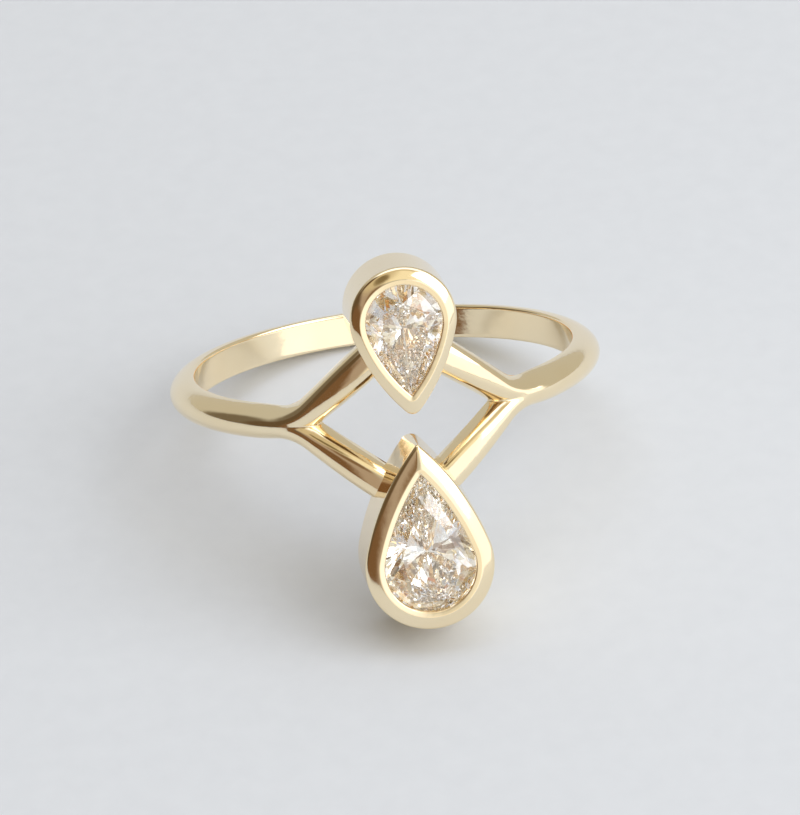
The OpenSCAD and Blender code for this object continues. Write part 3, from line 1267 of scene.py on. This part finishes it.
    def facets(self) -> list[Facet]:
        """Every facet, with the slips of the hand that cut it.

        Returns:
            The crown's facets and then the pavilion's, all but the table slightly off.
        """
        ring, out = self.stations(2 * self.mains)
        tip, end = ring[:, 1].max(), -ring[:, 1].min()
        culet = np.array([0.0, self.culet_share * (tip - end) / 2])
        made = self.crown(ring, out, culet) + self.pavilion(culet)
        draw = np.random.default_rng(self.slip_seed)
        slips = draw.normal(0.0, math.radians(self.hand_slip), (len(made), 3))
        slips[0] = 0
        tilted = [(p, d / np.linalg.norm(d) + slip) for (p, d), slip in zip(made, slips)]
        return [Facet(p, d / np.linalg.norm(d)) for p, d in tilted]

    def blank(self) -> bpy.types.Object:
        """The uncut stone: an upright block with the outline of the edge.

        Returns:
            The block, in the pear's plane and height.
        """
        flat = self.edge.whole(*around(*self.blank_steps))
        low, high = self.edge_top - self.blank_below, self.bezel.wall_h + self.blank_above
        n = len(flat)
        points = np.array([[*p, z] for z in (low, high) for p in flat])
        faces = [[i, (i + 1) % n, n + (i + 1) % n, n + i] for i in range(n)]
        faces += [list(range(n))[::-1], list(range(n, 2 * n))]
        return mesh_object(self.name, points, faces)

    def build(self, finish: ClearDiamond) -> bpy.types.Object:
        """Cuts the stone.

        Args:
            finish: what it is made of.

        Returns:
            The stone, in metres, lying as the ring rests.
        """
        on_plane, same_place = 1e-6, 1e-5
        stone = self.blank()
        bm = bmesh.new()
        bm.from_mesh(stone.data)
        bmesh.ops.recalc_face_normals(bm, faces=bm.faces)
        for place, out in self.facets():
            cut = bmesh.ops.bisect_plane(
                bm, geom=[*bm.verts, *bm.edges, *bm.faces], dist=on_plane, plane_co=Vector(place),
                plane_no=Vector(out), clear_outer=True)
            rim = [e for e in cut["geom_cut"] if isinstance(e, bmesh.types.BMEdge)]
            if rim:
                bmesh.ops.contextual_create(bm, geom=rim)
        bmesh.ops.remove_doubles(bm, verts=bm.verts, dist=same_place)
        bmesh.ops.dissolve_degenerate(bm, edges=bm.edges, dist=same_place)
        bmesh.ops.recalc_face_normals(bm, faces=bm.faces)
        for vertex in bm.verts:
            flat = np.array(vertex.co) + np.array([0.0, self.bezel.shift, 0.0])
            vertex.co = Vector(resting(self.bezel.place(flat)) * MM)
        # Setting a stone tip down mirrors it, which turns its facets inwards
        bm.normal_update()
        bmesh.ops.recalc_face_normals(bm, faces=bm.faces)
        bm.to_mesh(stone.data)
        bm.free()
        stone.data.materials.append(finish.material())
        return stone


# Studio


def towards(azimuth: float, elevation: float) -> Vector:
    """Direction from the ring: azimuth in degrees from the front to the right, elevation above the table."""
    az, el = math.radians(azimuth), math.radians(elevation)
    return Vector((math.sin(az) * math.cos(el), -math.cos(az) * math.cos(el), math.sin(el)))


@dataclass(frozen=True)
class Glow:
    """A soft-edged round part of the room, seen from the ring. Its angles are in degrees."""

    azimuth: float
    elevation: float
    inner: float
    outer: float
    colour: Colour


@dataclass(frozen=True)
class Room:
    """The room round the ring: one plain tone with brighter and darker parts laid over it."""

    plain: Colour = (0.54, 0.52, 0.46)
    glows: tuple[Glow, ...] = (
        # Bright ceiling, and the warm wall below it
        Glow(90.0, 82.0, 26.0, 46.0, (1.44, 1.52, 1.66)),
        Glow(20.0, 62.0, 14.0, 28.0, (0.62, 0.52, 0.34)),
        Glow(14.0, 50.0, 11.0, 21.0, (0.95, 0.88, 0.68)),
        # Left of the front: two middle tones, and then the dark side of the room
        Glow(-32.0, 20.0, 20.0, 32.0, (0.42, 0.34, 0.28)),
        Glow(-35.0, 60.0, 12.0, 26.0, (0.62, 0.53, 0.36)),
        Glow(-105.0, 16.0, 18.0, 31.0, (0.17, 0.14, 0.10)),
        Glow(-68.0, 20.0, 18.0, 30.0, (0.12, 0.08, 0.045)),
        Glow(-76.0, 54.0, 9.0, 19.0, (0.12, 0.07, 0.03)),
        Glow(-44.0, 7.0, 14.0, 23.0, (0.18, 0.10, 0.05)),
        # Two small dark things near the front, and the pale strip low between them and the windows
        Glow(-16.0, 32.0, 5.0, 12.0, (0.22, 0.14, 0.08)),
        Glow(-18.0, 53.0, 4.0, 10.0, (0.22, 0.17, 0.09)),
        Glow(2.0, 4.0, 8.0, 16.0, (0.95, 0.92, 0.84)),
        # Two windows to the right
        Glow(34.0, 14.0, 22.0, 30.0, (1.24, 1.24, 1.25)),
        Glow(60.0, 15.0, 20.0, 28.0, (1.34, 1.34, 1.35)),
    )

    def build(self) -> None:
        """Lays the parts over each other as the scene's surroundings."""
        world = bpy.data.worlds.new("room")
        bpy.context.scene.world = world
        world.use_nodes = True
        tree = world.node_tree
        back = next(n for n in tree.nodes if n.type == "BACKGROUND")
        way = tree.nodes.new("ShaderNodeTexCoord").outputs["Generated"]
        tone = None
        for glow in self.glows:
            dot = tree.nodes.new("ShaderNodeVectorMath")
            dot.operation = "DOT_PRODUCT"
            dot.inputs[1].default_value = towards(glow.azimuth, glow.elevation)
            tree.links.new(way, dot.inputs[0])
            edge = tree.nodes.new("ShaderNodeMapRange")
            edge.interpolation_type = "SMOOTHSTEP"
            edge.inputs["From Min"].default_value = math.cos(math.radians(glow.outer))
            edge.inputs["From Max"].default_value = math.cos(math.radians(glow.inner))
            tree.links.new(dot.outputs["Value"], edge.inputs["Value"])
            mix = tree.nodes.new("ShaderNodeMix")
            mix.data_type = "RGBA"
            mix.inputs["A"].default_value = (*self.plain, 1.0)
            mix.inputs["B"].default_value = (*glow.colour, 1.0)
            tree.links.new(edge.outputs["Result"], mix.inputs["Factor"])
            if tone is not None:
                tree.links.new(tone, mix.inputs["A"])
            tone = mix.outputs["Result"]
        tree.links.new(tone, back.inputs["Color"])
        back.inputs["Strength"].default_value = 1.0


@dataclass(frozen=True)
class SoftBox:
    """One soft light aimed at the ring: angles in degrees, lengths in metres, power in watts."""

    name: str
    azimuth: float
    elevation: float
    distance: float
    width: float
    height: float
    power: float
    colour: Colour

    def build(self) -> bpy.types.Object:
        """Hangs the light.

        Returns:
            The light's object.
        """
        light = bpy.data.lights.new(self.name, "AREA")
        light.shape, light.size, light.size_y = "RECTANGLE", self.width, self.height
        light.energy, light.color = self.power, self.colour
        made = bpy.data.objects.new(self.name, light)
        way = towards(self.azimuth, self.elevation)
        made.location = way * self.distance
        made.rotation_mode = "QUATERNION"
        made.rotation_quaternion = (-way).to_track_quat("-Z", "Y")
        bpy.context.scene.collection.objects.link(made)
        return made


@dataclass(frozen=True)
class Studio:
    """The pale table, soft light from the right and above, and the camera at the photograph's angle."""

    table: PaperTable
    room: Room = Room()
    boxes: tuple[SoftBox, ...] = (
        SoftBox("window", 62.0, 38.0, 0.28, 0.26, 0.19, power=0.285, colour=(0.98, 0.99, 1.0)),
    )
    # Half the table's width, in metres
    table_half: float = 1.5
    # The camera's place round the upright ring and its roll, in degrees, and its distance
    azimuth: float = -5.246
    elevation: float = 14.271
    roll: float = -6.268
    distance: float = 250.0
    # The finger hole's centre lies this far right of and above the picture's middle
    shift_right: float = -0.668
    shift_up: float = 1.631
    sensor: float = 36.0
    lens: float = 253.72
    # Nearest and farthest thing in view, in metres
    sees: tuple[float, float] = (0.01, 20.0)

    def build(self) -> bpy.types.Object:
        """Sets up everything that isn't the ring.

        Returns:
            The camera.
        """
        self.floor()
        self.room.build()
        for box in self.boxes:
            box.build()
        return self.camera()

    def floor(self) -> bpy.types.Object:
        """The table top, which runs on far past the view.

        Returns:
            The table top's object.
        """
        h, z = self.table_half, FLOOR_Z * MM
        corners = np.array([[-h, -h, z], [h, -h, z], [h, h, z], [-h, h, z]])
        made = mesh_object("table_top", corners, [[0, 1, 2, 3]])
        made.data.materials.append(self.table.material())
        return made

    def camera(self) -> bpy.types.Object:
        """The camera that frames the ring as the photograph does.

        Returns:
            The camera's object, which the scene then looks through.
        """
        az, el, roll = (math.radians(v) for v in (self.azimuth, self.elevation, self.roll))
        back = np.array([math.sin(az) * math.cos(el), -math.cos(az) * math.cos(el), math.sin(el)])
        right = np.array([math.cos(az), math.sin(az), 0.0])
        up = np.cross(back, right)
        across = math.cos(roll) * right + math.sin(roll) * up
        upward = math.cos(roll) * up - math.sin(roll) * right
        eye = back * self.distance - across * self.shift_right - upward * self.shift_up
        axes = [resting(v) for v in (across, upward, back)]
        data = bpy.data.cameras.new("camera")
        data.sensor_width, data.lens = self.sensor, self.lens
        data.clip_start, data.clip_end = self.sees
        made = bpy.data.objects.new("camera", data)
        bpy.context.scene.collection.objects.link(made)
        turn = Matrix([[float(a[k]) for a in axes] for k in range(3)])
        made.matrix_world = Matrix.Translation(Vector(resting(eye) * MM)) @ turn.to_4x4()
        bpy.context.scene.camera = made
        return made


def let_light_through(scene: bpy.types.Scene) -> None:
    """Lets light turn often enough in the cut stones to come out again, and shows it without a film curve.

    Args:
        scene: the scene to set.
    """
    scene.view_settings.view_transform = "Standard"
    scene.cycles.max_bounces = scene.cycles.transmission_bounces = STONE_BOUNCES
    scene.cycles.glossy_bounces = STONE_BOUNCES


def main() -> None:
    """Builds the ring and its studio, in order."""
    logging.basicConfig(level=logging.INFO, format="%(message)s")
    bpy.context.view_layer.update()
    let_light_through(bpy.context.scene)

    lower = Bezel(
        "lower_bezel", Stand.TIP_UP, centre_z=-5.9,
        outside=Pear(2.73, 8.5, 0.05), opening=Pear(1.93, 8.05, 0.03), tip_blunt=0.45)
    upper = Bezel(
        "upper_bezel", Stand.TIP_DOWN, centre_z=4.8,
        outside=Pear(2.24, 6.2, 0.4), opening=Pear(1.61, 4.9, 0.03), shift=0.11)
    metal = RingBody(Shank((upper, lower)), Gold()).build()
    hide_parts("ring_body")
    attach(metal, BODY)
    LOG.info("ring metal: %d faces", len(metal.data.polygons))

    settings = (("upper_stone", "upper_diamond", upper), ("lower_stone", "lower_diamond", lower))
    for name, node, bezel in settings:
        stone = PearDiamond(name, bezel).build(ClearDiamond())
        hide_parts(node)
        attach(stone, BODY)
        LOG.info("%s: %d facets", name, len(stone.data.polygons))

    Studio(PaperTable()).build()
    LOG.info("studio: table, lights and camera")

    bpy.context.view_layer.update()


if __name__ == "__main__":
    main()
